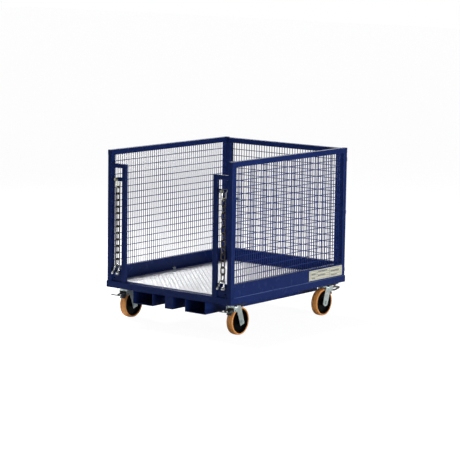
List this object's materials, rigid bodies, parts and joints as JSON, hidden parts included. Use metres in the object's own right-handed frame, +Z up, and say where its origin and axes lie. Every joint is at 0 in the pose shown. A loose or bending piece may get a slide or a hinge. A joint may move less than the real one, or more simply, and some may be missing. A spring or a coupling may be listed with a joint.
{
  "type": "roll cage container",
  "caption": "Mesh-sided steel cage on braked swivel castors, with an open chained front, a hinged rear gate, a chequer plate floor and fork pockets.",
  "frame": {"origin": "on the floor under the middle of the base", "axes": "+X right as seen from the open front, +Y towards the rear gate, +Z up"},
  "size_m": [1.208, 1.4808, 1.3],
  "materials": {
    "blue_paint": "dark blue enamel, satin",
    "mesh_paint": "dark blue enamel over welded wire",
    "pad_paint": "black enamel",
    "chequer_plate": "bright tread plate",
    "zinc_plated": "bright zinc plate",
    "pedal_steel": "dull dark zinc plate",
    "bearing_steel": "polished",
    "shackle_khaki": "dull yellow passivated zinc",
    "shackle_bright": "bright white zinc",
    "chain_steel": "dark oiled steel",
    "wheel_black": "black, fine moulded grain",
    "tread_polyurethane": "amber polyurethane, satin",
    "data_plate": "matt anodised, unlettered"
  },
  "bodies": {
    "root": {"base_side_beams": "blue_paint", "base_end_beams": "blue_paint", "base_bearers": "blue_paint", "castor_pads": "pad_paint", "floor_plate": "chequer_plate", "floor_ledges": "blue_paint", "floor_clips": "zinc_plated", "left_fork_pocket": "blue_paint", "right_fork_pocket": "blue_paint", "centre_beam": "blue_paint", "right_side_frame": "blue_paint", "left_side_frame": "blue_paint", "right_side_mesh": "mesh_paint", "left_side_mesh": "mesh_paint", "right_front_stub": "blue_paint", "left_front_stub": "blue_paint", "front_infills": "blue_paint", "chain_lugs": "blue_paint", "gate_hinge_posts": "zinc_plated", "latch_keeper": "blue_paint", "data_plate": "data_plate", "data_plate_rivets": "zinc_plated", "castor_bolts": "pad_paint", "castor_kingpins": "zinc_plated", "swivel_balls": "bearing_steel", "castor_front_left_plate": "pad_paint", "castor_front_right_plate": "pad_paint", "castor_rear_left_plate": "pad_paint", "castor_rear_right_plate": "pad_paint"},
    "gate": {"gate_frame": "blue_paint", "gate_mesh": "mesh_paint", "gate_hinge_straps": "zinc_plated", "latch_guides": "zinc_plated"},
    "latch_bolt": {"latch_bolt": "zinc_plated"},
    "front_left_swivel": {"castor_front_left_fork": "zinc_plated", "castor_front_left_axle": "zinc_plated"},
    "front_left_wheel": {"castor_front_left_core": "wheel_black", "castor_front_left_tyre": "tread_polyurethane"},
    "front_left_pedal": {"castor_front_left_pedal": "pedal_steel"},
    "front_right_swivel": {"castor_front_right_fork": "zinc_plated", "castor_front_right_axle": "zinc_plated"},
    "front_right_wheel": {"castor_front_right_core": "wheel_black", "castor_front_right_tyre": "tread_polyurethane"},
    "front_right_pedal": {"castor_front_right_pedal": "pedal_steel"},
    "rear_left_swivel": {"castor_rear_left_fork": "zinc_plated", "castor_rear_left_axle": "zinc_plated"},
    "rear_left_wheel": {"castor_rear_left_core": "wheel_black", "castor_rear_left_tyre": "tread_polyurethane"},
    "rear_left_pedal": {"castor_rear_left_pedal": "pedal_steel"},
    "rear_right_swivel": {"castor_rear_right_fork": "zinc_plated", "castor_rear_right_axle": "zinc_plated"},
    "rear_right_wheel": {"castor_rear_right_core": "wheel_black", "castor_rear_right_tyre": "tread_polyurethane"},
    "rear_right_pedal": {"castor_rear_right_pedal": "pedal_steel"},
    "left_upper_shackle": {"left_upper_shackle": "shackle_khaki"},
    "left_chain": {"left_chain": "chain_steel"},
    "left_lower_shackle": {"left_lower_shackle": "shackle_bright"},
    "right_upper_shackle": {"right_upper_shackle": "shackle_khaki"},
    "right_chain": {"right_chain": "chain_steel"},
    "right_lower_shackle": {"right_lower_shackle": "shackle_bright"}
  },
  "joints": [
    {"name": "gate_swing", "type": "hinge", "parent": "root", "child": "gate", "pos_m": [0.588, 0.7235, 0.797], "axis": [0, 0, -1], "range_deg": [0, 180]},
    {"name": "latch_slide", "type": "slide", "parent": "gate", "child": "latch_bolt", "axis": [-1, 0, 0], "range_m": [0, 0.03]},
    {"name": "front_left_swivel_turn", "type": "hinge", "parent": "root", "child": "front_left_swivel", "pos_m": [-0.52, -0.58, 0.225], "axis": [0, 0, 1], "continuous": true},
    {"name": "front_left_wheel_spin", "type": "hinge", "parent": "front_left_swivel", "child": "front_left_wheel", "pos_m": [-0.52, -0.527, 0.105], "axis": [1, 0, 0], "continuous": true},
    {"name": "front_left_brake_press", "type": "hinge", "parent": "front_left_swivel", "child": "front_left_pedal", "pos_m": [-0.52, -0.608, 0.193], "axis": [1, 0, 0], "range_deg": [0, 12]},
    {"name": "front_right_swivel_turn", "type": "hinge", "parent": "root", "child": "front_right_swivel", "pos_m": [0.52, -0.58, 0.225], "axis": [0, 0, 1], "continuous": true},
    {"name": "front_right_wheel_spin", "type": "hinge", "parent": "front_right_swivel", "child": "front_right_wheel", "pos_m": [0.52, -0.527, 0.105], "axis": [1, 0, 0], "continuous": true},
    {"name": "front_right_brake_press", "type": "hinge", "parent": "front_right_swivel", "child": "front_right_pedal", "pos_m": [0.52, -0.608, 0.193], "axis": [1, 0, 0], "range_deg": [0, 12]},
    {"name": "rear_left_swivel_turn", "type": "hinge", "parent": "root", "child": "rear_left_swivel", "pos_m": [-0.52, 0.58, 0.225], "axis": [0, 0, 1], "continuous": true},
    {"name": "rear_left_wheel_spin", "type": "hinge", "parent": "rear_left_swivel", "child": "rear_left_wheel", "pos_m": [-0.52, 0.527, 0.105], "axis": [1, 0, 0], "continuous": true},
    {"name": "rear_left_brake_press", "type": "hinge", "parent": "rear_left_swivel", "child": "rear_left_pedal", "pos_m": [-0.52, 0.608, 0.193], "axis": [-1, 0, 0], "range_deg": [0, 12]},
    {"name": "rear_right_swivel_turn", "type": "hinge", "parent": "root", "child": "rear_right_swivel", "pos_m": [0.52, 0.58, 0.225], "axis": [0, 0, 1], "continuous": true},
    {"name": "rear_right_wheel_spin", "type": "hinge", "parent": "rear_right_swivel", "child": "rear_right_wheel", "pos_m": [0.52, 0.527, 0.105], "axis": [1, 0, 0], "continuous": true},
    {"name": "rear_right_brake_press", "type": "hinge", "parent": "rear_right_swivel", "child": "rear_right_pedal", "pos_m": [0.52, 0.608, 0.193], "axis": [-1, 0, 0], "range_deg": [0, 12]},
    {"name": "left_upper_shackle_rock", "type": "hinge", "parent": "root", "child": "left_upper_shackle", "pos_m": [-0.51, -0.7, 1.082], "axis": [0, 1, 0], "range_deg": [-0.35, 0.35]},
    {"name": "left_chain_sway", "type": "hinge", "parent": "left_upper_shackle", "child": "left_chain", "pos_m": [-0.51, -0.7, 1.038], "axis": [-1, 0, 0], "range_deg": [0, 1]},
    {"name": "left_lower_shackle_rock", "type": "hinge", "parent": "root", "child": "left_lower_shackle", "pos_m": [-0.51, -0.726, 0.36764], "axis": [1, 0, 0], "range_deg": [0, 10]},
    {"name": "right_upper_shackle_rock", "type": "hinge", "parent": "root", "child": "right_upper_shackle", "pos_m": [0.51, -0.7, 1.082], "axis": [0, 1, 0], "range_deg": [-0.35, 0.35]},
    {"name": "right_chain_sway", "type": "hinge", "parent": "right_upper_shackle", "child": "right_chain", "pos_m": [0.51, -0.7, 1.038], "axis": [-1, 0, 0], "range_deg": [0, 1]},
    {"name": "right_lower_shackle_rock", "type": "hinge", "parent": "root", "child": "right_lower_shackle", "pos_m": [0.51, -0.726, 0.36764], "axis": [1, 0, 0], "range_deg": [0, 10]}
  ],
  "couplings": [
    {"joint": "left_lower_shackle_rock", "follows": "left_chain_sway", "ratio": 10},
    {"joint": "right_lower_shackle_rock", "follows": "right_chain_sway", "ratio": 10}
  ]
}
